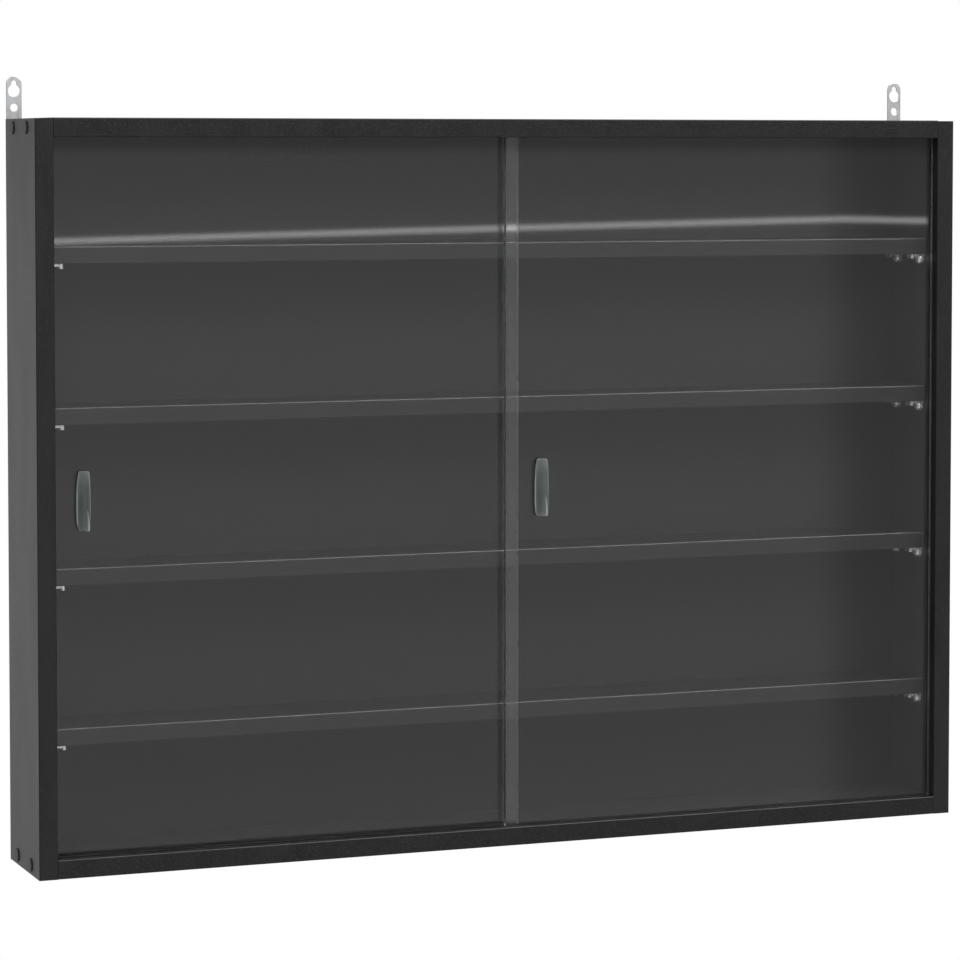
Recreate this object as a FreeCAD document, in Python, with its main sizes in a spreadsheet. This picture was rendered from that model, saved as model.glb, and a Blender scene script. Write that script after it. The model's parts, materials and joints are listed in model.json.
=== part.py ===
"""Wall mounted showcase: a shallow board cabinet with four shelves and two sliding glass doors.

Frame: +X to the right, +Z up, the front faces -Y and the wall is the plane y = 0.
The origin lies on the wall, midway between the two round fixing holes of the hangers.
Lengths are in millimetres.
"""
import FreeCAD, Part
import os
import Sketcher

doc = FreeCAD.newDocument("wall_showcase")

# ---------------------------------------------------------------- driving dimensions
DIMENSIONS = [
    # outer carcass
    ("cabinet_width", 800), ("cabinet_height", 594), ("cabinet_depth", 95),
    ("board_thickness", 15), ("top_board_proud", 0.5), ("edge_round", 0.8),
    # back panel, let into grooves in the four outer boards
    ("back_thickness", 3), ("back_setback", 10), ("back_groove_depth", 6), ("back_groove_slack", 0.2),
    # shelves
    ("shelf_thickness", 13.5), ("shelf_setback", 20), ("shelf_side_gap", 1), ("shelf_back_gap", 0.5),
    ("first_shelf_top", 115), ("shelf_pitch", 126.2),
    # spoon shelf supports, plugged into the side panels
    ("support_front", 28.3), ("support_spacing", 40), ("boss_radius", 4.25), ("boss_length", 6),
    ("boss_dome", 2.8), ("boss_heel", 1.2),
    ("peg_radius", 2.45), ("peg_length", 8), ("peg_hole_radius", 2.5), ("peg_hole_depth", 9),
    ("tongue_reach", 12.5), ("tongue_thickness", 2.2), ("tongue_width", 8), ("lip_thickness", 2.4),
    ("lip_drop", 3.9),
    # sliding panes and their double tracks
    ("glass_thickness", 4), ("pane_width", 391.5), ("pane_edge", 0.5), ("pane_side_gap", 0.2),
    ("front_pane_setback", 8), ("rear_pane_setback", 14.5), ("pane_foot_gap", 0.1),
    ("pane_engagement", 3.5), ("channel_width", 4.6), ("track_wall", 1), ("lower_track_height", 3.5),
    ("upper_track_height", 8), ("track_web", 1),
    # stuck-on finger pulls
    ("pull_width", 10), ("pull_height", 47.5), ("pull_proud", 6.4), ("pull_toe", 1.2),
    ("pull_centre_rise", 293), ("left_pull_lift", 1.5), ("left_pull_inset", 19.6),
    ("right_pull_inset", 25.4),
    ("tape_thickness", 0.6), ("tape_margin", 1),
    # carcass screws and their cover caps
    ("screw_from_rear", 23.5), ("screw_from_front", 28.2), ("head_radius", 3.9), ("head_length", 3.5),
    ("neck_radius", 3.4), ("neck_length", 11.3), ("thread_radius", 2.5), ("thread_length", 34),
    ("socket_circumradius", 2.3), ("socket_depth", 3), ("screw_slack", 0.1),
    ("cap_radius", 5.4), ("cap_proud", 1), ("cap_pin_radius", 1.6), ("cap_pin_length", 2.5),
    # hangers on the rear edges of the side panels
    ("hanger_width", 12.5), ("hanger_thickness", 1.5), ("hanger_rise", 33.5), ("hanger_tail", 45),
    ("hanger_inset", 7), ("fixing_hole_rise", 8.8), ("fixing_hole_radius", 3.1),
    ("keyhole_rise", 22.2), ("keyhole_radius", 4.9), ("keyslot_width", 4.4), ("keyslot_top", 30.3),
    ("hanger_screw_first", 12), ("hanger_screw_pitch", 22), ("hanger_screw_radius", 1.7),
    ("hanger_screw_head", 3.2), ("hanger_screw_length", 20),
]

sheet = doc.addObject("Spreadsheet::Sheet", "Dims")
for row, (alias, value) in enumerate(DIMENSIONS, start=1):
    sheet.set(f"A{row}", alias)
    sheet.set(f"B{row}", str(value))
    sheet.setAlias(f"B{row}", alias)
doc.recompute()

ALIASES = sorted((alias for alias, _ in DIMENSIONS), key=len, reverse=True)
VALUES = dict(DIMENSIONS)


def bound(text):
    """Turn a formula over dimension names into one that reads the spreadsheet."""
    words = text.replace("(", " ( ").replace(")", " ) ").split()
    return " ".join(f"Dims.{word}" if word in VALUES else word for word in words)


def number(text):
    """The present value of a formula over dimension names."""
    words = text.replace("(", " ( ").replace(")", " ) ").split()
    probe = FreeCAD.Units.parseQuantity(" ".join(str(VALUES.get(word, word)) for word in words))
    return float(probe.Value)


# Reference planes, as formulas over the sheet.
TOP = "( - fixing_hole_rise )"
BOTTOM = "( - fixing_hole_rise - cabinet_height )"
REAR = "( - hanger_thickness )"
FRONT = "( - hanger_thickness - cabinet_depth )"
HALF = "( cabinet_width / 2 )"
INNER = "( cabinet_width / 2 - board_thickness )"
FLOOR = f"( {BOTTOM} + board_thickness )"
CEILING = f"( {TOP} - board_thickness )"
BACK_FACE = f"( {REAR} - back_setback - back_thickness )"

nodes = []


# ---------------------------------------------------------------- helpers
def place(obj, x="0", y="0", z="0"):
    """Bind the position of an object to the spreadsheet."""
    for axis, formula in zip("xyz", (x, y, z)):
        obj.setExpression(f"Placement.Base.{axis}", bound(formula))
    return obj


def turned(obj, axis, angle):
    """Turn an object about one of its own axes."""
    obj.Placement = FreeCAD.Placement(obj.Placement.Base, FreeCAD.Rotation(FreeCAD.Vector(*axis), angle))
    return obj


def block(name, size, corner):
    """A box with its lowest corner at the given place."""
    obj = doc.addObject("Part::Box", name)
    for prop, formula in zip(("Length", "Width", "Height"), size):
        obj.setExpression(prop, bound(formula))
    return place(obj, *corner)


def rod(name, radius, length, start, along):
    """A cylinder from its start point along one of the axes +X, -X, +Y, -Y or +Z."""
    obj = doc.addObject("Part::Cylinder", name)
    obj.setExpression("Radius", bound(radius))
    obj.setExpression("Height", bound(length))
    turns = {"+X": ((0, 1, 0), 90), "-X": ((0, 1, 0), -90), "+Y": ((1, 0, 0), -90),
             "-Y": ((1, 0, 0), 90), "+Z": ((0, 0, 1), 0)}
    turned(obj, *turns[along])
    return place(obj, *start)


def cone(name, radius_start, radius_end, length, start, along):
    """A truncated cone from its start point along +Y or -Y."""
    obj = doc.addObject("Part::Cone", name)
    obj.setExpression("Radius1", bound(radius_start))
    obj.setExpression("Radius2", bound(radius_end))
    obj.setExpression("Height", bound(length))
    turned(obj, (1, 0, 0), -90 if along == "+Y" else 90)
    return place(obj, *start)


def fuse(name, shapes):
    """One solid from several overlapping ones."""
    obj = doc.addObject("Part::MultiFuse", name)
    obj.Shapes = shapes
    obj.Refine = True
    return obj


def cut(name, base, tools):
    """A solid less one or more tools."""
    tool = tools[0]
    if len(tools) > 1:
        tool = doc.addObject("Part::Compound", name + "_tools")
        tool.Links = tools
    obj = doc.addObject("Part::Cut", name)
    obj.Base = base
    obj.Tool = tool
    obj.Refine = True
    return obj


def group(name, solids):
    """Several separate identical pieces that share one node."""
    obj = doc.addObject("Part::Compound", name)
    obj.Links = solids
    return obj


def node(obj, label):
    """Give an object the name of the sub-part that it is."""
    obj.Label = label
    nodes.append(obj)
    return obj


def softened(name, base, radius, wanted):
    """Round every edge of a solid for which wanted(edge) holds."""
    doc.recompute()
    chosen = [number_ for number_, edge in enumerate(base.Shape.Edges, start=1) if wanted(edge)]
    obj = doc.addObject("Part::Fillet", name)
    obj.Base = base
    obj.Edges = [(index, radius, radius) for index in chosen]
    return obj


def edge_at(edge, **limits):
    """Whether an edge lies wholly at the given coordinates, such as y=-96.5."""
    box = edge.BoundBox
    spans = {"x": (box.XMin, box.XMax), "y": (box.YMin, box.YMax), "z": (box.ZMin, box.ZMax)}
    return all(abs(end - value) < 1e-3 for axis, value in limits.items() for end in spans[axis])


def origin_plane(body, role):
    """One of a body's own origin planes."""
    return next(feature for feature in body.Origin.OriginFeatures if feature.Role == role)


def outline(body, name, role, corners):
    """A closed sketch of straight runs and arcs on one of the body's own planes.

    Each corner is (u, v) or (u, v, radius): a radius makes the run from that corner to the
    next one an arc, bulging to the right of the way round if positive, to the left if negative.
    """
    sketch = body.newObject("Sketcher::SketchObject", name)
    sketch.AttachmentSupport = [(origin_plane(body, role), "")]
    sketch.MapMode = "FlatFace"
    points = [FreeCAD.Vector(number(corner[0]), number(corner[1]), 0) for corner in corners]
    for index, corner in enumerate(corners):
        start = points[index]
        end = points[(index + 1) % len(points)]
        if len(corner) == 2:
            sketch.addGeometry(Part.LineSegment(start, end))
            continue
        radius = number(corner[2])
        chord = end - start
        side = FreeCAD.Vector(chord.y, -chord.x, 0).normalize() * (1 if radius > 0 else -1)
        sagitta = abs(radius) - (radius ** 2 - (chord.Length / 2) ** 2) ** 0.5
        middle = (start + end) * 0.5 + side * sagitta
        sketch.addGeometry(Part.Arc(start, middle, end))
    for index, corner in enumerate(corners):
        following = (index + 1) % len(corners)
        this_end = 2 if len(corner) == 2 or number(corner[2]) > 0 else 1
        next_start = 1 if len(corners[following]) == 2 or number(corners[following][2]) > 0 else 2
        sketch.addConstraint(Sketcher.Constraint("Coincident", index, this_end, following, next_start))
        own_start = 3 - this_end
        for kind, formula, value in (("DistanceX", corner[0], points[index].x),
                                     ("DistanceY", corner[1], points[index].y)):
            key = sketch.addConstraint(Sketcher.Constraint(kind, -1, 1, index, own_start, value))
            sketch.setExpression(f"Constraints[{key}]", bound(formula))
        if len(corner) == 3:
            key = sketch.addConstraint(Sketcher.Constraint("Radius", index, abs(number(corner[2]))))
            sketch.setExpression(f"Constraints[{key}]", bound(corner[2].lstrip("-")))
    return sketch


def padded(body, name, sketch, length, reverse=False):
    """Grow a sketch into a solid of the given length."""
    pad = body.newObject("PartDesign::Pad", name)
    pad.Profile = sketch
    pad.setExpression("Length", bound(length))
    pad.Reversed = reverse
    body.Tip = pad
    return pad


# ---------------------------------------------------------------- carcass boards
def screw_places():
    """The two depths, from the wall plane, at which a carcass board is screwed."""
    return (f"( {REAR} - screw_from_rear )", f"( {FRONT} + screw_from_front )")


def screw_levels():
    """The heights of the screws: mid-thickness of the bottom and the top board."""
    return {"bottom": f"( {BOTTOM} + board_thickness / 2 )", "top": f"( {TOP} - board_thickness / 2 )"}


def support_places():
    """The depths of the front and rear shelf supports."""
    front = f"( {FRONT} + support_front )"
    return (front, f"( {front} + support_spacing )")


def shelf_top(index):
    return f"( {BOTTOM} + first_shelf_top + {index} * shelf_pitch )"


def shelf_underside(index):
    return f"( {shelf_top(index)} - shelf_thickness )"


def side_panel(side):
    """A full-height side panel, bored for screws, shelf supports and the hanger."""
    sign, outward, inward = (-1, "-X", "+X") if side == "left" else (1, "+X", "-X")
    low_x = f"( - {HALF} )" if sign < 0 else INNER
    outer_x = f"( {sign} * {HALF} )"
    inner_x = f"( {sign} * {INNER} )"
    board = block(f"{side}_blank",
                  ("board_thickness", "cabinet_depth", "cabinet_height - top_board_proud"),
                  (low_x, FRONT, BOTTOM))
    groove_x = f"( {inner_x} - back_groove_depth )" if sign < 0 else inner_x
    tools = [block(f"{side}_back_groove",
                   ("back_groove_depth", "back_thickness + back_groove_slack", "cabinet_height + 2"),
                   (groove_x, f"{BACK_FACE} - back_groove_slack / 2", f"{BOTTOM} - 1"))]
    for level, height in screw_levels().items():
        for number_, depth in enumerate(screw_places(), start=1):
            stem = f"{side}_{level}_bore_{number_}"
            tools.append(rod(stem, "neck_radius + screw_slack", "board_thickness",
                             (outer_x, depth, height), inward))
            tools.append(rod(stem + "_head", "head_radius + screw_slack", "head_length",
                             (outer_x, depth, height), inward))
    for index in range(4):
        for number_, depth in enumerate(support_places(), start=1):
            tools.append(rod(f"{side}_peg_hole_{index}_{number_}", "peg_hole_radius", "peg_hole_depth",
                             (inner_x, depth, f"{shelf_underside(index)} - boss_radius"), outward))
    hanger_x = f"( {sign} * ( {HALF} - hanger_inset ) )"
    for number_ in range(2):
        tools.append(rod(f"{side}_hanger_pilot_{number_}", "hanger_screw_radius + 0.05",
                         "hanger_screw_length", (hanger_x, REAR, hanger_screw_level(number_)), "-Y"))
    panel = cut(f"{side}_panel_cut", board, tools)
    front = number(FRONT)
    return softened(f"{side}_panel", panel, VALUES["edge_round"],
                    lambda edge: edge_at(edge, y=front) and edge.BoundBox.ZLength > 100)


def level_board(which):
    """The top or the bottom board, with its track rebate, back groove and screw holes."""
    top = which == "top"
    low_z = CEILING if top else BOTTOM
    board = block(f"{which}_blank", (f"2 * {INNER}", "cabinet_depth", "board_thickness"),
                  (f"( - {INNER} )", FRONT, low_z))
    track_height = "upper_track_height" if top else "lower_track_height"
    rebate_z = CEILING if top else f"{FLOOR} - {track_height}"
    groove_z = CEILING if top else f"{FLOOR} - back_groove_depth"
    long_x = f"( - {INNER} - 1 )"
    tools = [block(f"{which}_track_rebate", (f"2 * {INNER} + 2", TRACK_WIDTH, track_height),
                   (long_x, TRACK_FRONT, rebate_z)),
             block(f"{which}_back_groove",
                   (f"2 * {INNER} + 2", "back_thickness + back_groove_slack", "back_groove_depth"),
                   (long_x, f"{BACK_FACE} - back_groove_slack / 2", groove_z))]
    for side, sign, inward in (("left", -1, "+X"), ("right", 1, "-X")):
        for number_, depth in enumerate(screw_places(), start=1):
            tools.append(rod(f"{which}_{side}_pilot_{number_}", "thread_radius + screw_slack",
                             "thread_length + 2",
                             (f"( {sign} * {INNER} )", depth, screw_levels()[which]), inward))
    drilled = cut(f"{which}_board_cut", board, tools)
    front = number(FRONT)
    return softened(f"{which}_board", drilled, VALUES["edge_round"],
                    lambda edge: edge_at(edge, y=front) and edge.BoundBox.XLength > 100)


def shelf(index):
    """A loose shelf that lies on its four supports."""
    board = block(f"shelf_blank_{index}",
                  (f"2 * ( {INNER} - shelf_side_gap )",
                   "cabinet_depth - shelf_setback - back_setback - back_thickness - shelf_back_gap",
                   "shelf_thickness"),
                  (f"( shelf_side_gap - {INNER} )", f"{FRONT} + shelf_setback", shelf_underside(index)))
    front = number(f"{FRONT} + shelf_setback")
    return softened(f"shelf_{index}", board, VALUES["edge_round"],
                    lambda edge: edge_at(edge, y=front) and edge.BoundBox.XLength > 100)


# ---------------------------------------------------------------- door tracks and panes
TRACK_FRONT = f"( {FRONT} + front_pane_setback + glass_thickness / 2 - channel_width / 2 - track_wall )"
TRACK_WIDTH = "( rear_pane_setback - front_pane_setback + channel_width + 2 * track_wall )"


def track(which):
    """A black double track: an extruded E section as long as the board that it lies in."""
    height = "upper_track_height" if which == "upper" else "lower_track_height"
    up = 1 if which == "upper" else -1
    body = doc.addObject("PartDesign::Body", f"{which}_track")
    wall = "track_wall"
    second = "( rear_pane_setback - front_pane_setback )"
    web = f"( {up} * ( {height} - track_web ) )"
    rim = f"( {up} * {height} )"
    stops = ["0", wall, f"{wall} + channel_width", f"{wall} + {second}",
             f"{wall} + {second} + channel_width", f"2 * {wall} + {second} + channel_width"]
    corners = [(stops[0], rim), (stops[0], "0"), (stops[1], "0"), (stops[1], web), (stops[2], web),
               (stops[2], "0"), (stops[3], "0"), (stops[3], web), (stops[4], web), (stops[4], "0"),
               (stops[5], "0"), (stops[5], rim)]
    sketch = outline(body, f"{which}_track_section", "YZ_Plane", corners)
    padded(body, f"{which}_track_run", sketch, f"2 * {INNER}")
    return place(body, f"( - {INNER} )", TRACK_FRONT, CEILING if which == "upper" else FLOOR)


PANE_HEIGHT = ("( cabinet_height - 2 * board_thickness + lower_track_height - track_web"
               " - pane_foot_gap + pane_engagement )")
PANE_FOOT = f"( {FLOOR} - lower_track_height + track_web + pane_foot_gap )"


def pane(side):
    """A sliding glass pane with ground edges: the right one runs in the front channel."""
    setback = "front_pane_setback" if side == "right" else "rear_pane_setback"
    low_x = (f"{INNER} - pane_side_gap - pane_width" if side == "right"
             else f"( pane_side_gap - {INNER} )")
    sheet_glass = block(f"{side}_pane_blank", ("pane_width", "glass_thickness", PANE_HEIGHT),
                        (low_x, f"{FRONT} + {setback}", PANE_FOOT))
    doc.recompute()
    obj = doc.addObject("Part::Chamfer", f"{side}_pane")
    obj.Base = sheet_glass
    bevel = VALUES["pane_edge"]
    obj.Edges = [(index, bevel, bevel) for index, edge in enumerate(sheet_glass.Shape.Edges, start=1)
                 if edge.BoundBox.YLength < 1e-6]
    return obj


# ---------------------------------------------------------------- finger pulls
def pull(side):
    """A clear stuck-on finger pull: a thin toe that sweeps up into a fin, with bowed sides."""
    body = doc.addObject("PartDesign::Body", f"{side}_pull")
    section = [("0", "0"), ("pull_width", "0"), ("pull_width - 0.5", "( - pull_proud + 0.6 )", "0.9"),
               ("pull_width - 1.6", "( - pull_proud )", "-13"), ("0.7", "( - pull_toe )", "0.8"),
               ("0", "( - 0.5 )")]
    sketch = outline(body, f"{side}_pull_section", "XY_Plane", section)
    padded(body, f"{side}_pull_length", sketch, "pull_height")
    doc.recompute()
    whole = body.Shape.Volume
    frame = [("( - 5 )", "( - 5 )"), ("pull_width + 5", "( - 5 )"),
             ("pull_width + 5", "pull_height + 5"), ("( - 5 )", "pull_height + 5")]
    barrel = [("3.6", "0"), ("pull_width - 1.6", "0", "1.2"), ("pull_width - 0.7", "1.2", "400"),
              ("pull_width - 0.7", "pull_height - 1.2", "1.2"), ("pull_width - 1.6", "pull_height"),
              ("3.4", "pull_height", "2.4"), ("1.5", "pull_height - 1.8", "160"), ("1.5", "2.2", "2.8")]
    trim = outline(body, f"{side}_pull_outline", "XZ_Plane", barrel)
    mask = body.newObject("PartDesign::Pocket", f"{side}_pull_trim")
    add_frame(trim, frame)
    mask.Profile = trim
    mask.Type = "ThroughAll"
    mask.Midplane = True
    body.Tip = mask
    doc.recompute()
    if not body.Shape.Volume < whole:
        raise RuntimeError("the pull's outline cut nothing")
    return body


def add_frame(sketch, corners):
    """Add an outer rectangle, so that a pocket removes all between it and the outline."""
    points = [FreeCAD.Vector(number(u), number(v), 0) for u, v in corners]
    first = sketch.GeometryCount
    for index, start in enumerate(points):
        sketch.addGeometry(Part.LineSegment(start, points[(index + 1) % 4]))
    for index, (u, v) in enumerate(corners):
        sketch.addConstraint(Sketcher.Constraint("Coincident", first + index, 2,
                                                 first + (index + 1) % 4, 1))
        for kind, formula, value in (("DistanceX", u, points[index].x), ("DistanceY", v, points[index].y)):
            key = sketch.addConstraint(Sketcher.Constraint(kind, -1, 1, first + index, 1, value))
            sketch.setExpression(f"Constraints[{key}]", bound(formula))


def pull_corner(side):
    """Where the pull's foot stands on its tape: x, y and z of its lowest left corner."""
    if side == "left":
        x = f"( pane_side_gap - {INNER} + left_pull_inset )"
        y = f"( {FRONT} + rear_pane_setback )"
        centre = "( pull_centre_rise + left_pull_lift )"
    else:
        x = f"( {INNER} - pane_side_gap - pane_width + right_pull_inset )"
        y = f"( {FRONT} + front_pane_setback )"
        centre = "pull_centre_rise"
    return x, y, f"( {BOTTOM} + {centre} - pull_height / 2 )"


def pull_tape(side):
    """The double-sided tape between a pull and its pane."""
    x, y, z = pull_corner(side)
    return block(f"{side}_tape",
                 ("pull_width - 2 * tape_margin - 1.5", "tape_thickness", "pull_height - 4 * tape_margin"),
                 (f"{x} + tape_margin + 1.5", f"{y} - tape_thickness", f"{z} + 2 * tape_margin"))


# ---------------------------------------------------------------- fittings
def support(name, sign, depth, underside):
    """A spoon shelf support: peg, domed round boss, and a flat tongue with a turned-down lip."""
    inward, outward = ("-X", "+X") if sign > 0 else ("+X", "-X")
    face = f"( {sign} * {INNER} )"
    axis_z = f"( {underside} - boss_radius )"
    peg = rod(f"{name}_peg", "peg_radius", "peg_length", (face, depth, axis_z), outward)
    boss = rod(f"{name}_boss", "boss_radius", "boss_length", (face, depth, axis_z), inward)
    wall = number(face)
    tip = wall - sign * VALUES["boss_length"]
    boss = softened(f"{name}_dome", boss, VALUES["boss_dome"], lambda edge: edge_at(edge, x=tip))
    boss = softened(f"{name}_heel", boss, VALUES["boss_heel"], lambda edge: edge_at(edge, x=wall))
    tongue_x = f"( {face} - tongue_reach )" if sign > 0 else face
    lip_x = (f"( {face} - tongue_reach )" if sign > 0
             else f"( {face} + tongue_reach - lip_thickness )")
    side_y = f"( {depth} - tongue_width / 2 )"
    tongue = block(f"{name}_tongue", ("tongue_reach", "tongue_width", "tongue_thickness"),
                   (tongue_x, side_y, f"{underside} - tongue_thickness"))
    lip = block(f"{name}_lip", ("lip_thickness", "tongue_width", "lip_drop"),
                (lip_x, side_y, f"{underside} - lip_drop"))
    return fuse(name, [peg, boss, tongue, lip])


def carcass_screw(name, sign, depth, height):
    """A hexagon socket carcass screw through a side panel into the end of a board."""
    inward = "-X" if sign > 0 else "+X"
    outer = f"( {sign} * {HALF} )"
    head_end = f"( {outer} - {sign} * head_length )"
    neck_end = f"( {outer} - {sign} * ( head_length + neck_length ) )"
    head = rod(f"{name}_head", "head_radius", "head_length", (outer, depth, height), inward)
    neck = rod(f"{name}_neck", "neck_radius", "neck_length", (head_end, depth, height), inward)
    thread = rod(f"{name}_thread", "thread_radius", "thread_length", (neck_end, depth, height), inward)
    stem = fuse(f"{name}_stem", [head, neck, thread])
    socket = doc.addObject("Part::Prism", f"{name}_socket")
    socket.Polygon = 6
    socket.setExpression("Circumradius", bound("socket_circumradius"))
    socket.setExpression("Height", bound("socket_depth"))
    turned(socket, (0, 1, 0), -90 if sign > 0 else 90)
    place(socket, outer, depth, height)
    return cut(name, stem, [socket])


def cap(name, sign, depth, height):
    """A flat cover cap whose pin plugs into the screw's socket."""
    outward, inward = ("+X", "-X") if sign > 0 else ("-X", "+X")
    outer = f"( {sign} * {HALF} )"
    disc = rod(f"{name}_disc", "cap_radius", "cap_proud", (outer, depth, height), outward)
    doc.recompute()
    face_x = number(f"{outer} + {sign} * cap_proud")
    domed = softened(f"{name}_domed", disc, 0.45, lambda edge: edge_at(edge, x=face_x))
    pin = rod(f"{name}_pin", "cap_pin_radius", "cap_pin_length", (outer, depth, height), inward)
    return fuse(name, [domed, pin])


def hanger_screw_level(index):
    return f"( {TOP} - top_board_proud - hanger_screw_first - {index} * hanger_screw_pitch )"


def hanger(side):
    """A steel hanging plate: round top, keyhole, round fixing hole, two countersunk holes."""
    sign = -1 if side == "left" else 1
    x = f"( {sign} * ( {HALF} - hanger_inset ) )"
    crown_z = f"( {TOP} + hanger_rise - hanger_width / 2 )"
    foot_z = f"( {TOP} - hanger_tail )"
    strap = block(f"{side}_hanger_strap",
                  ("hanger_width", "hanger_thickness", "hanger_rise - hanger_width / 2 + hanger_tail"),
                  (f"{x} - hanger_width / 2", REAR, foot_z))
    crown = rod(f"{side}_hanger_crown", "hanger_width / 2", "hanger_thickness", (x, REAR, crown_z), "+Y")
    plate = fuse(f"{side}_hanger_plate", [strap, crown])
    through = "hanger_thickness + 2"
    behind = f"( {REAR} - 1 )"
    tools = [rod(f"{side}_fixing_hole", "fixing_hole_radius", through, (x, behind, "0"), "+Y"),
             fuse(f"{side}_keyhole", [
                 rod(f"{side}_keyhole_round", "keyhole_radius", through,
                     (x, behind, f"{TOP} + keyhole_rise"), "+Y"),
                 block(f"{side}_keyslot",
                       ("keyslot_width", through, "keyslot_top - keyhole_rise - keyslot_width / 2"),
                       (f"{x} - keyslot_width / 2", behind, f"{TOP} + keyhole_rise")),
                 rod(f"{side}_keyslot_end", "keyslot_width / 2", through,
                     (x, behind, f"{TOP} + keyslot_top - keyslot_width / 2"), "+Y")])]
    for index in range(2):
        tools.append(cone(f"{side}_countersink_{index}", "hanger_screw_head + 0.05",
                          "hanger_screw_radius + 0.05", "hanger_thickness",
                          (x, "0", hanger_screw_level(index)), "-Y"))
    return cut(f"{side}_hanger", plate, tools)


def hanger_screw(name, sign, index):
    """A countersunk wood screw that holds the hanger to the side panel's rear edge."""
    x = f"( {sign} * ( {HALF} - hanger_inset ) )"
    level = hanger_screw_level(index)
    head = cone(f"{name}_head", "hanger_screw_head", "hanger_screw_radius", "hanger_thickness",
                (x, "0", level), "-Y")
    shank = rod(f"{name}_shank", "hanger_screw_radius", "hanger_screw_length - 1", (x, REAR, level), "-Y")
    slots = [block(f"{name}_slot_a", ("3.2", "0.8", "0.6"), (f"{x} - 1.6", "( - 0.7 )", f"{level} - 0.3")),
             block(f"{name}_slot_b", ("0.6", "0.8", "3.2"), (f"{x} - 0.3", "( - 0.7 )", f"{level} - 1.6"))]
    return cut(name, fuse(f"{name}_stem", [head, shank]), slots)


# ---------------------------------------------------------------- assembly
for side in ("left", "right"):
    node(side_panel(side), f"side_panel_{side}")
for which in ("top", "bottom"):
    node(level_board(which), f"{which}_board")

node(block("back_sheet",
           (f"2 * ( {INNER} + back_groove_depth - 0.5 )", "back_thickness",
            "cabinet_height - 2 * board_thickness + 2 * back_groove_depth - 1"),
           (f"( 0.5 - back_groove_depth - {INNER} )", BACK_FACE, f"{FLOOR} - back_groove_depth + 0.5")),
     "back_panel")

for index in range(4):
    node(shelf(index), f"shelf_{index + 1}")
    spoons = [support(f"support_{index}_{side}_{number_}", sign, depth, shelf_underside(index))
              for side, sign in (("left", -1), ("right", 1))
              for number_, depth in enumerate(support_places(), start=1)]
    node(group(f"supports_{index}", spoons), f"shelf_supports_{index + 1}")

for which in ("lower", "upper"):
    node(track(which), f"door_track_{which}")

for side in ("left", "right"):
    node(pane(side), f"glass_door_{side}")
    x, y, z = pull_corner(side)
    node(place(pull(side), x, f"{y} - tape_thickness", z), f"finger_pull_{side}")
    node(pull_tape(side), f"pull_tape_{side}")

for level, height in screw_levels().items():
    for side, sign in (("left", -1), ("right", 1)):
        screws = []
        caps = []
        for number_, depth in enumerate(screw_places(), start=1):
            screws.append(carcass_screw(f"screw_{level}_{side}_{number_}", sign, depth, height))
            caps.append(cap(f"cap_{level}_{side}_{number_}", sign, depth, height))
        node(group(f"screws_{level}_{side}", screws), f"carcass_screws_{level}_{side}")
        node(group(f"caps_{level}_{side}", caps), f"screw_caps_{level}_{side}")

for side, sign in (("left", -1), ("right", 1)):
    node(hanger(side), f"hanger_{side}")
    fixings = [hanger_screw(f"hanger_screw_{side}_{index}", sign, index) for index in range(2)]
    node(group(f"hanger_fixings_{side}", fixings), f"hanger_screws_{side}")

# ---------------------------------------------------------------- checks and export
doc.recompute()
for obj in doc.Objects:
    if "Invalid" in obj.State or "Error" in obj.State:
        raise RuntimeError(f"{obj.Label} did not recompute: {obj.State}")

os.makedirs("parts", exist_ok=True)
for obj in nodes:
    shape = obj.Shape
    if shape.isNull() or not shape.isValid() or not shape.Solids:
        raise RuntimeError(f"{obj.Label} has no sound solid")
    shape.exportStep(f"parts/{obj.Label}.step")
    box = shape.BoundBox
    print(f"{obj.Label:28s} solids {len(shape.Solids):2d}  volume {shape.Volume / 1000:9.3f} cm3"
          f"  size {box.XLength:.1f} x {box.YLength:.1f} x {box.ZLength:.1f}")
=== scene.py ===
"""Looks of the wall mounted showcase: materials, finger pulls, camera and studio light."""
import json
import math

import bmesh
import bpy
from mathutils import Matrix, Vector

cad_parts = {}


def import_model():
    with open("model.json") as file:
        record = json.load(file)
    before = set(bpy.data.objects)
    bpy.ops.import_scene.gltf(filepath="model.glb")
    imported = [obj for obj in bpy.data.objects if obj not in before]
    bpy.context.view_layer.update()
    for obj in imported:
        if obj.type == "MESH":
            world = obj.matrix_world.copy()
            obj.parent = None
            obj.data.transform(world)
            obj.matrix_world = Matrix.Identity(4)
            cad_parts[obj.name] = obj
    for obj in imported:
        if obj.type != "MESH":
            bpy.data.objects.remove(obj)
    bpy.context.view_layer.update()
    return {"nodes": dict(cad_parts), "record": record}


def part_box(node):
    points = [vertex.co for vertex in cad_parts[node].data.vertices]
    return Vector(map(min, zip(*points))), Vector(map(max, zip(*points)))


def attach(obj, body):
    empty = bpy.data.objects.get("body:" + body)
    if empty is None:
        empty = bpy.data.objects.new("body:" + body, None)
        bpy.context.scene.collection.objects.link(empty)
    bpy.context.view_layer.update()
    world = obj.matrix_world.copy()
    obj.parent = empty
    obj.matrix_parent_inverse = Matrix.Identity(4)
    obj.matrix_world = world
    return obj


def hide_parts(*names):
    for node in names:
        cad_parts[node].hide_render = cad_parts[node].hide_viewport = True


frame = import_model()
MM = 0.001


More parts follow.
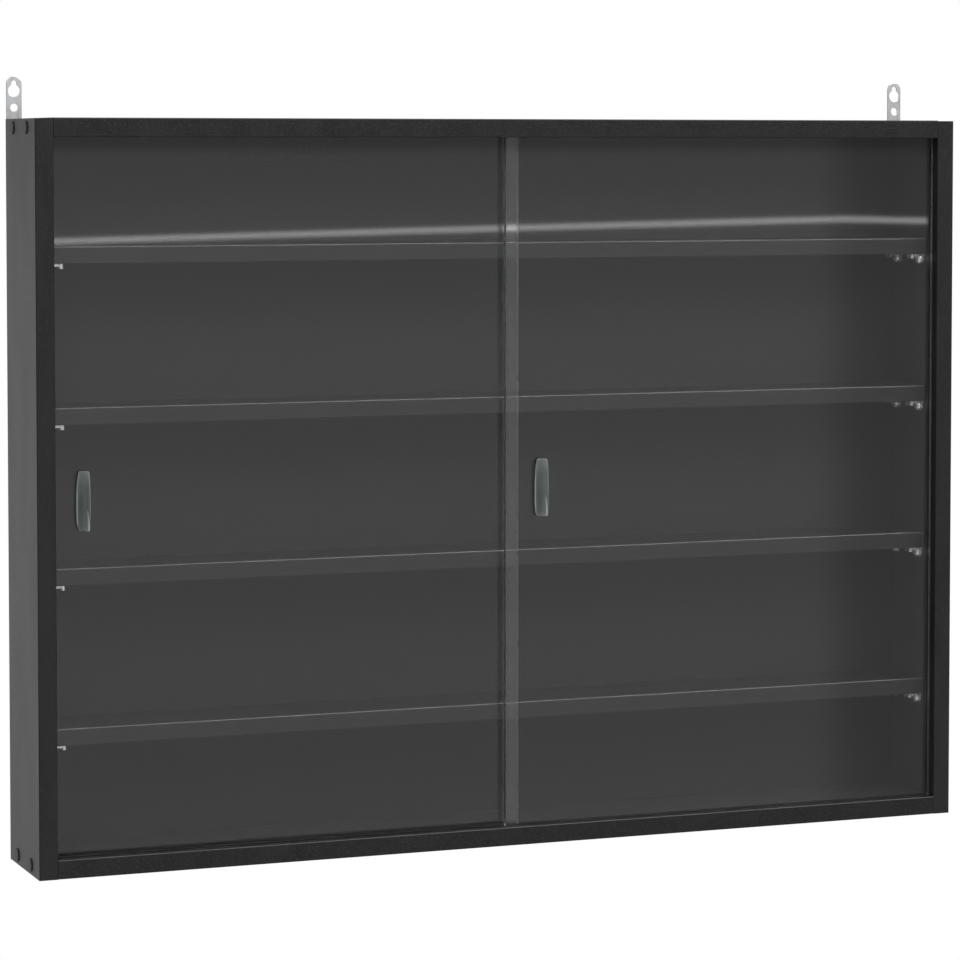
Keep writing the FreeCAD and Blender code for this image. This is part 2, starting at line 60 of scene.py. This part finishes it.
# ---------------------------------------------------------------- node helpers
class Wiring:
    """A short way to write a node tree."""

    def __init__(self, node_tree):
        self.nodes = node_tree.nodes
        self.links = node_tree.links

    def add(self, kind, **settings):
        node = self.nodes.new(kind)
        for key, value in settings.items():
            setattr(node, key, value)
        return node

    def feed(self, source, target):
        if isinstance(source, (int, float, tuple)):
            target.default_value = source
        else:
            self.links.new(source, target)

    def math(self, operation, first, second=0.0):
        node = self.add("ShaderNodeMath", operation=operation)
        self.feed(first, node.inputs[0])
        self.feed(second, node.inputs[1])
        return node.outputs[0]

    def facing(self):
        """The surface normal's three parts, in the row frame."""
        split = self.add("ShaderNodeSeparateXYZ")
        self.feed(self.add("ShaderNodeNewGeometry").outputs["Normal"], split.inputs["Vector"])
        return split.outputs

    def remap(self, value, low, high, to_low=0.0, to_high=1.0, kind="LINEAR"):
        node = self.add("ShaderNodeMapRange", interpolation_type=kind)
        self.feed(value, node.inputs["Value"])
        limits = {"From Min": low, "From Max": high, "To Min": to_low, "To Max": to_high}
        for key, setting in limits.items():
            node.inputs[key].default_value = setting
        return node.outputs["Result"]

    def steps(self, value, points, kind="SMOOTHSTEP"):
        """A curve through (input, output) points, level beyond its ends."""
        total = points[0][1]
        for (start, low), (end, high) in zip(points, points[1:]):
            if high != low:
                total = self.math("ADD", total, self.remap(value, start, end, 0.0, high - low, kind))
        return total


class Tree(Wiring):
    """A material and its node tree."""

    def __init__(self, name):
        self.material = bpy.data.materials.new(name)
        self.material.use_nodes = True
        super().__init__(self.material.node_tree)
        self.shader = self.nodes["Principled BSDF"]

    def set(self, **values):
        for key, value in values.items():
            self.shader.inputs[key.replace("_", " ")].default_value = value

    def place(self, stretch=(1, 1, 1)):
        """Coordinates in the row frame, in metres, stretched along each axis."""
        mapping = self.add("ShaderNodeMapping")
        mapping.inputs["Scale"].default_value = stretch
        self.links.new(self.add("ShaderNodeTexCoord").outputs["Object"], mapping.inputs["Vector"])
        return mapping.outputs["Vector"]

    def noise(self, scale, detail=2.0, stretch=(1, 1, 1), roughness=0.5):
        node = self.add("ShaderNodeTexNoise")
        self.feed(self.place(stretch), node.inputs["Vector"])
        node.inputs["Scale"].default_value = scale
        node.inputs["Detail"].default_value = detail
        node.inputs["Roughness"].default_value = roughness
        return node.outputs["Fac"]

    def cells(self, scale, output="Distance"):
        node = self.add("ShaderNodeTexVoronoi")
        self.feed(self.place(), node.inputs["Vector"])
        node.inputs["Scale"].default_value = scale
        return node.outputs[output]

    def blend(self, factor, first, second):
        node = self.add("ShaderNodeMix", data_type="RGBA")
        self.feed(factor, node.inputs["Factor"])
        self.feed(first, node.inputs[6])
        self.feed(second, node.inputs[7])
        return node.outputs[2]

    def bump(self, height, strength, distance, under=None):
        node = self.add("ShaderNodeBump")
        node.inputs["Strength"].default_value = strength
        node.inputs["Distance"].default_value = distance
        self.feed(height, node.inputs["Height"])
        if under is not None:
            self.links.new(under, node.inputs["Normal"])
        return node.outputs["Normal"]

    def colour(self, source):
        self.feed(source, self.shader.inputs["Base Color"])

    def rough(self, source):
        self.feed(source, self.shader.inputs["Roughness"])

    def normal(self, source):
        self.links.new(source, self.shader.inputs["Normal"])


def grey(value, tint=(1.0, 1.0, 1.0)):
    return (value * tint[0], value * tint[1], value * tint[2], 1.0)


# ---------------------------------------------------------------- materials
def black_board(name, stretch, tone, flecks):
    """Satin black decor foil over fibreboard: fine flecked grain, faint clouds, and upper arrises painted
    lighter, partly wear from rubbing and partly a painted highlight. Flecks are left off level faces, which
    keeps those darker as painted shade.
    """
    tree = Tree(name)
    clouds = tree.noise(40, detail=3, stretch=stretch)
    speckle = tree.noise(800, detail=2, stretch=stretch, roughness=0.65)
    foil = tree.blend(tree.remap(clouds, 0.35, 0.65), grey(tone), grey(tone * 1.4))
    facing = tree.facing()
    # Flecks show only on upright faces; leaving them off level faces keeps those darker, which is painted
    # shade.
    upright = tree.remap(tree.math("ABSOLUTE", facing["Z"]), 0.4, 0.1)
    fleck_with_level_shade = tree.math("MULTIPLY", tree.remap(speckle, 0.5, 0.72), upright)
    grain = tree.blend(fleck_with_level_shade, foil, grey(flecks, (0.95, 1.0, 0.97)))
    # The upper front arrises are painted lighter: partly wear from rubbing, partly a painted highlight
    # standing for the light from above on their rounding.
    arris = tree.math("MULTIPLY", tree.remap(facing["Z"], 0.15, 0.5),
                      tree.remap(tree.math("ABSOLUTE", facing["Y"]), 0.15, 0.5))
    rubbed_and_highlight = tree.math("MULTIPLY", arris, tree.remap(tree.noise(60, detail=3), 0.3, 0.6, 0.85, 1.0))
    tree.colour(tree.blend(rubbed_and_highlight, grain, grey(0.09)))
    tree.rough(tree.math("ADD", tree.remap(clouds, 0.3, 0.7, 0.32, 0.36),
                         tree.remap(speckle, 0.3, 0.7, -0.03, 0.05)))
    tree.normal(tree.bump(speckle, 0.5, 0.06 * MM, tree.bump(clouds, 0.03, 0.1 * MM)))
    tree.set(Specular_IOR_Level=0.3)
    return tree.material


def back_sheet():
    """Matt black hardboard with short random fibres."""
    tree = Tree("back_sheet")
    fibres = tree.noise(420, detail=5, stretch=(1, 1, 0.25), roughness=0.7)
    tree.colour(tree.blend(tree.remap(fibres, 0.3, 0.7), grey(0.002), grey(0.005, (1.05, 1.0, 0.92))))
    tree.rough(tree.remap(fibres, 0.3, 0.7, 0.55, 0.7))
    tree.normal(tree.bump(fibres, 0.4, 0.1 * MM))
    tree.set(Specular_IOR_Level=0.2)
    return tree.material


def track_plastic():
    """Black extruded plastic with faint die lines along its length."""
    tree = Tree("track_plastic")
    lines = tree.noise(2500, detail=2, stretch=(0.004, 1, 1))
    tree.colour(tree.blend(tree.remap(lines, 0.3, 0.7), grey(0.009), grey(0.016)))
    tree.rough(tree.remap(lines, 0.3, 0.7, 0.34, 0.46))
    tree.normal(tree.bump(lines, 0.2, 0.03 * MM))
    return tree.material


def cap_plastic():
    """Black moulded caps with a fine spark-eroded skin."""
    tree = Tree("cap_plastic")
    skin = tree.noise(1800, detail=3)
    tree.colour(tree.blend(tree.remap(skin, 0.35, 0.65), grey(0.010), grey(0.017)))
    tree.rough(tree.remap(skin, 0.3, 0.7, 0.38, 0.5))
    tree.normal(tree.bump(skin, 0.3, 0.03 * MM))
    return tree.material


def glass():
    """Clear float glass: polished faces, frosted green ground edges."""
    tree = Tree("glass")
    edge = tree.remap(tree.math("ABSOLUTE", tree.facing()["Y"]), 0.98, 0.9)
    grind = tree.noise(1500, detail=2, stretch=(1, 1, 0.1))
    ground = tree.math("MULTIPLY", edge, tree.remap(grind, 0.3, 0.7, 0.25, 0.4))
    tree.rough(ground)
    tree.colour(tree.blend(edge, (0.995, 1.0, 0.998, 1.0), (0.62, 0.80, 0.74, 1.0)))
    tree.set(Transmission_Weight=1.0, IOR=1.5)
    return tree.material


def clear_plastic():
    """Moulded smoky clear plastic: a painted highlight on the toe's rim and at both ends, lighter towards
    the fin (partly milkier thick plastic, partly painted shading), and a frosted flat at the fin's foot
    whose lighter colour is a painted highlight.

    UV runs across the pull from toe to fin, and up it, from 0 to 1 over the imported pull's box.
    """
    tree = Tree("clear_plastic")
    spread = tree.add("ShaderNodeSeparateXYZ")
    tree.feed(tree.add("ShaderNodeTexCoord").outputs["UV"], spread.inputs["Vector"])
    across, up = spread.outputs["X"], spread.outputs["Y"]
    flow = tree.remap(tree.noise(160, detail=3, stretch=(1, 1, 0.3)), 0.3, 0.7, -0.08, 0.08)
    # Painted highlight on the toe's rim and at the ends; towards the fin the lighter tone is partly milkier
    # thick plastic and partly painted shading.
    sides = tree.steps(across, ((0.03, 1.3), (0.1, 0.0), (0.25, 0.0), (0.9, 0.55)))
    ends = tree.steps(up, ((0.0, 0.5), (0.1, 0.12), (0.35, 0.0), (0.7, 0.1), (0.95, 0.55)))
    milk_and_highlight = tree.math("ADD", tree.math("ADD", sides, ends), flow)
    shade = tree.blend(milk_and_highlight, (0.085, 0.098, 0.096, 1.0), (0.30, 0.33, 0.325, 1.0))
    # The frosted flat is lighter in colour as a painted highlight; it widens downwards and leans out to the
    # fin's lower corner.
    foot = tree.remap(up, 0.40, 0.03)
    off = tree.math("ABSOLUTE", tree.math("SUBTRACT", across, tree.remap(foot, 0.0, 1.0, 0.77, 0.88)))
    flat = tree.remap(tree.math("DIVIDE", off, tree.remap(foot, 0.0, 1.0, 0.02, 0.085)), 1.2, 0.4)
    frosted = tree.math("MULTIPLY", flat, tree.remap(foot, 0.02, 0.3))
    tree.colour(tree.blend(frosted, shade, (0.50, 0.55, 0.53, 1.0)))
    tree.rough(tree.math("ADD", flow, tree.remap(frosted, 0.0, 1.0, 0.16, 0.4)))
    tree.set(Transmission_Weight=0.25, IOR=1.49)
    return tree.material


def clear_tape():
    """Milky double-sided tape with small trapped bubbles."""
    tree = Tree("clear_tape")
    bubbles = tree.cells(900)
    tree.colour(tree.blend(tree.remap(bubbles, 0.2, 0.6), grey(0.42, (0.95, 1, 0.98)), grey(0.3)))
    tree.rough(tree.remap(bubbles, 0.1, 0.6, 0.45, 0.6))
    tree.normal(tree.bump(bubbles, 0.2, 0.05 * MM))
    tree.set(Transmission_Weight=0.5)
    return tree.material


def metal(name, tone, rough, grain_scale, tint=(1.0, 1.0, 1.0), spangle=0.0, metallic=1.0):
    """Plated metal: cloudy brightness, fine scratches and, on zinc, crystal spangle."""
    tree = Tree(name)
    clouds = tree.noise(grain_scale * 0.1, detail=3)
    scratches = tree.noise(grain_scale, detail=2, stretch=(1, 1, 0.08))
    shade = tree.blend(tree.remap(clouds, 0.3, 0.7), grey(tone * 0.92, tint), grey(tone, tint))
    if spangle:
        crystals = tree.cells(380, output="Color")
        split = tree.add("ShaderNodeSeparateColor")
        tree.links.new(crystals, split.inputs["Color"])
        share = tree.math("MULTIPLY", split.outputs["Red"], spangle)
        shade = tree.blend(share, shade, grey(tone * 0.8, tint))
    tree.colour(shade)
    tree.rough(tree.math("ADD", tree.remap(scratches, 0.3, 0.7, rough, rough + 0.1),
                         tree.remap(clouds, 0.3, 0.7, -0.03, 0.03)))
    tree.normal(tree.bump(scratches, 0.15, 0.02 * MM))
    tree.set(Metallic=metallic)
    return tree.material


MATERIALS = {
    "black_board": black_board("board_level", (1, 1, 1), 0.010, 0.038),
    "board_upright": black_board("board_upright", (1, 1, 0.3), 0.014, 0.026),
    # The shelves' copy is darker than the boards outside: painted shade for the cabinet's shaded inside
    # behind the glass.
    "board_shelf_painted_shade": black_board("board_shelf_painted_shade", (0.4, 1, 1), 0.003, 0.008),
    "back_sheet": back_sheet(),
    "track_plastic": track_plastic(),
    "cap_plastic": cap_plastic(),
    "glass": glass(),
    "clear_plastic": clear_plastic(),
    "clear_tape": clear_tape(),
    "nickel": metal("nickel", 0.88, 0.22, 900, (1.0, 0.99, 0.96), metallic=0.72),
    "zinc": metal("zinc", 0.86, 0.32, 700, (0.98, 1.0, 1.02), spangle=0.5),
    "screw_steel": metal("screw_steel", 0.62, 0.3, 1200, (1.0, 0.95, 0.8)),
}

# Boards whose look differs from that of the top and bottom boards, by the first letters of their node; the
# shelves' darker look is painted shade.
BOARD_LOOKS = {"side_": "board_upright", "shelf": "board_shelf_painted_shade"}


def dress_cad_nodes():
    """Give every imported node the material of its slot, and soften sharp arrises of small metal parts."""
    for part in frame["record"]["subparts"]:
        piece = frame["nodes"][part["node"]]
        piece.data.materials.clear()
        look = part["material_slot"]
        if look == "black_board":
            look = BOARD_LOOKS.get(part["node"][:5], look)
        piece.data.materials.append(MATERIALS[look])
        if part["node"].startswith(("shelf_supports", "hanger_left", "hanger_right")):
            soften(piece, 0.25 * MM)
        if part["material_slot"] == "glass":
            piece.visible_shadow = False


def soften(piece, width):
    """A small bevel on the sharp arrises, as a modifier."""
    weld = piece.modifiers.new("weld", "WELD")
    weld.merge_threshold = 0.001 * MM
    bevel = piece.modifiers.new("bevel", "BEVEL")
    bevel.width = width
    bevel.segments = 2
    bevel.limit_method = "ANGLE"
    bevel.angle_limit = math.radians(40)


# ---------------------------------------------------------------- finger pulls
def pull_section(left, right, proud, scoop):
    """The pull's outline at one height, as (across, proud) points in mm from the toe round to the back.

    The front runs from the low toe on the left in a hollow curve up to the fin on the right.
    """
    points = [(left, 0.15), (left, 0.9), (left + 0.08, 1.3), (left + 0.3, 1.5), (left + 0.6, 1.4)]
    tip = right - 1.3
    for step in range(1, 15):
        along = step / 15
        hollow = 1.1 + (proud - 1.1) * along ** 2.3
        full = 1.4 + (proud - 1.4) * along ** 1.2
        points.append((left + 0.6 + (tip - left - 0.6) * along, scoop * hollow + (1 - scoop) * full))
    points += [(tip + 0.12, proud - 0.12), (tip + 0.4, proud), (tip + 0.75, proud - 0.1),
               (right - 0.3, proud - 0.6), (right - 0.12, proud * 0.6), (right, 0.9), (right, 0.15),
               (right - 0.15, 0.0), (left + 0.15, 0.0)]
    return points


def finger_pull(side):
    """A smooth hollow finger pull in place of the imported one: as tall and deep, and a little wider."""
    node = "finger_pull_" + side
    low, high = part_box(node)
    middle, half = (low + high) / 2, (high.z - low.z) / 2 / MM
    depth = (high.y - low.y) / MM
    # In mm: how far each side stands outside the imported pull, how much the fin's side and its ridge
    # fall away towards the ends, and the rounding of the ends.
    overhang, side_bow, ridge_bow, round_end = 0.5, 0.9, 0.5, 1.6
    width = (high.x - low.x) / 2 / MM + overhang
    lower_toe = 2.8 if side == "left" else 1.8
    heights = [half - round_end * (1 - math.sin(math.radians(angle))) for angle in range(90, -1, -15)]
    heights += [(half - round_end) * (1 - step / 14) for step in range(1, 14)]
    heights += [0.0] + [-height for height in reversed(heights)]
    shape = bmesh.new()
    rings = []
    for height in heights:
        along = abs(height) / half
        over = max(0.0, abs(height) - (half - round_end)) / round_end
        inset = round_end * (1 - math.sqrt(max(0.0, 1 - over * over))) * 0.85
        toe = lower_toe if height < 0 else 1.9
        left = -width + toe * along ** (6 if height < 0 else 2.2) + inset
        right = width - side_bow * along ** 2 - inset
        closing = (0.35, 0.6) if height < 0 else (0.55, 0.35)
        scoop = 1 - min(1.0, max(0.0, (along - closing[0]) / closing[1])) ** 1.5
        section = pull_section(left, right, depth - ridge_bow * along ** 2 - inset, scoop)
        rings.append([shape.verts.new((middle.x + across * MM, high.y - proud * MM, middle.z + height * MM))
                      for across, proud in section])
    for upper, lower in zip(rings, rings[1:]):
        for index in range(len(upper)):
            following = (index + 1) % len(upper)
            shape.faces.new((upper[index], upper[following], lower[following], lower[index]))
    shape.faces.new(rings[0])
    shape.faces.new(rings[-1])
    bmesh.ops.recalc_face_normals(shape, faces=shape.faces)
    spread = shape.loops.layers.uv.new("spread")
    for face in shape.faces:
        face.smooth = len(face.verts) == 4
        for loop in face.loops:
            loop[spread].uv = ((loop.vert.co.x - low.x) / (high.x - low.x),
                               (loop.vert.co.z - low.z) / (high.z - low.z))
    mesh = bpy.data.meshes.new("pull_shape_" + side)
    shape.to_mesh(mesh)
    shape.free()
    obj = bpy.data.objects.new("pull_shape_" + side, mesh)
    bpy.context.scene.collection.objects.link(obj)
    mesh.materials.append(MATERIALS["clear_plastic"])
    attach(obj, side + "_door")
    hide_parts(node)


# ---------------------------------------------------------------- stage
# How far the floor lies below the cabinet, and its radius, in metres.
FLOOR_DROP = 1.0
FLOOR_RADIUS = 3.0


def floor():
    """A pale round floor, well below the hanging cabinet."""
    mesh = bpy.data.meshes.new("floor")
    shape = bmesh.new()
    bmesh.ops.create_circle(shape, cap_ends=True, radius=FLOOR_RADIUS, segments=128)
    shape.to_mesh(mesh)
    shape.free()
    obj = bpy.data.objects.new("floor", mesh)
    obj.location = (0, 0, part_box("bottom_board")[0].z - FLOOR_DROP)
    bpy.context.scene.collection.objects.link(obj)
    tree = Tree("floor")
    tree.colour(tree.blend(tree.noise(3, detail=2), grey(0.80), grey(0.84)))
    tree.set(Roughness=0.7)
    mesh.materials.append(tree.material)


# Room brightness against elevation, and its change with heading (0 is straight ahead of the cabinet,
# positive to its right), as (degrees, value) steps. They and the slit are set to give the boards and
# panes the grey levels, and the panes the band of light, that were measured in the photograph.
ROOM_LEVELS = ((-60, 0.40), (-12, 0.44), (-10.2, 0.54), (-8, 0.56), (-0.1, 0.56), (0.15, 0.36), (12, 0.40),
               (40, 0.7), (90, 0.8))
CORNER_LEVELS = ((-150, 1.2), (-100, 0.5), (-25, 0.45), (5, 1.0), (26.4, 1.0), (27.3, 0.69), (40, 0.69),
                 (60, 0.15), (110, 0.15), (140, 1.2))
# The slit's height, its brightness away from its middle, and where it fades out.
SLIT_HEIGHTS = ((0, -1.840), (26.95, -1.080), (30, -1.136))
SLIT_PROFILE = ((0.0, 2.2), (0.093, 0.12), (0.14, 0.0))
SLIT_ENDS = ((-80, 0.0), (-60, 1.0), (60, 1.0), (80, 0.0))


def world():
    """A plain white backdrop for the camera and, for everything else, a soft room with a slit of light.

    The room's brightness changes with elevation and heading, and a thin bright slit runs along its
    front, just below the horizon, to give the panes their band of light.
    """
    studio = bpy.data.worlds.new("studio")
    bpy.context.scene.world = studio
    studio.use_nodes = True
    tree = Wiring(studio.node_tree)
    background = tree.nodes["Background"]
    split = tree.add("ShaderNodeSeparateXYZ")
    tree.feed(tree.add("ShaderNodeTexCoord").outputs["Generated"], split.inputs["Vector"])
    elevation = tree.math("DEGREES", tree.math("ARCSINE", split.outputs["Z"]))
    heading = tree.math("DEGREES", tree.math("ARCTAN2", split.outputs["X"],
                                             tree.math("MULTIPLY", split.outputs["Y"], -1.0)))
    room = tree.steps(elevation, ROOM_LEVELS)
    corner = tree.steps(heading, CORNER_LEVELS)
    middle = tree.steps(heading, SLIT_HEIGHTS, "LINEAR")
    off_slit = tree.math("ABSOLUTE", tree.math("SUBTRACT", elevation, middle))
    slit = tree.math("MULTIPLY", tree.steps(off_slit, SLIT_PROFILE), tree.steps(heading, SLIT_ENDS))
    light = tree.math("ADD", tree.math("MULTIPLY", room, corner), slit)
    level = tree.add("ShaderNodeMix")
    tree.feed(tree.add("ShaderNodeLightPath").outputs["Is Camera Ray"], level.inputs["Factor"])
    tree.feed(light, level.inputs["A"])
    level.inputs["B"].default_value = 1.0
    tree.feed((1.0, 1.0, 1.0, 1.0), background.inputs["Color"])
    tree.feed(level.outputs["Result"], background.inputs["Strength"])


LIGHT_AIM = (0, -0.05, -0.3)


def softbox(name, place, size, power):
    """A rectangular light, in watts, that points at the cabinet and isn't seen itself."""
    light = bpy.data.lights.new(name, "AREA")
    light.shape = "RECTANGLE"
    light.size, light.size_y = size
    light.energy = power
    obj = bpy.data.objects.new(name, light)
    obj.location = place
    obj.rotation_euler = (Vector(LIGHT_AIM) - Vector(place)).to_track_quat("-Z", "Y").to_euler()
    obj.visible_camera = False
    bpy.context.scene.collection.objects.link(obj)


def camera():
    """From the left and a little above the middle, with the frame shifted down."""
    lens = bpy.data.cameras.new("camera")
    lens.sensor_width = 36.0
    lens.lens = 133.496
    lens.shift_y = -0.15
    obj = bpy.data.objects.new("camera", lens)
    heading, dip = math.radians(21.1344), math.radians(2.9672)
    obj.location = (-1.0706, -2.7827, -0.0351)
    obj.rotation_euler = (math.pi / 2 - dip, 0, -heading)
    bpy.context.scene.collection.objects.link(obj)
    bpy.context.scene.camera = obj


dress_cad_nodes()
finger_pull("left")
finger_pull("right")
floor()
world()
softbox("key", (1.2, -2.0, 1.5), (2.4, 0.9), 55)
softbox("sparkle", (-1.3, -1.9, 1.5), (0.35, 0.35), 12)
camera()
bpy.context.scene.view_settings.view_transform = "Standard"
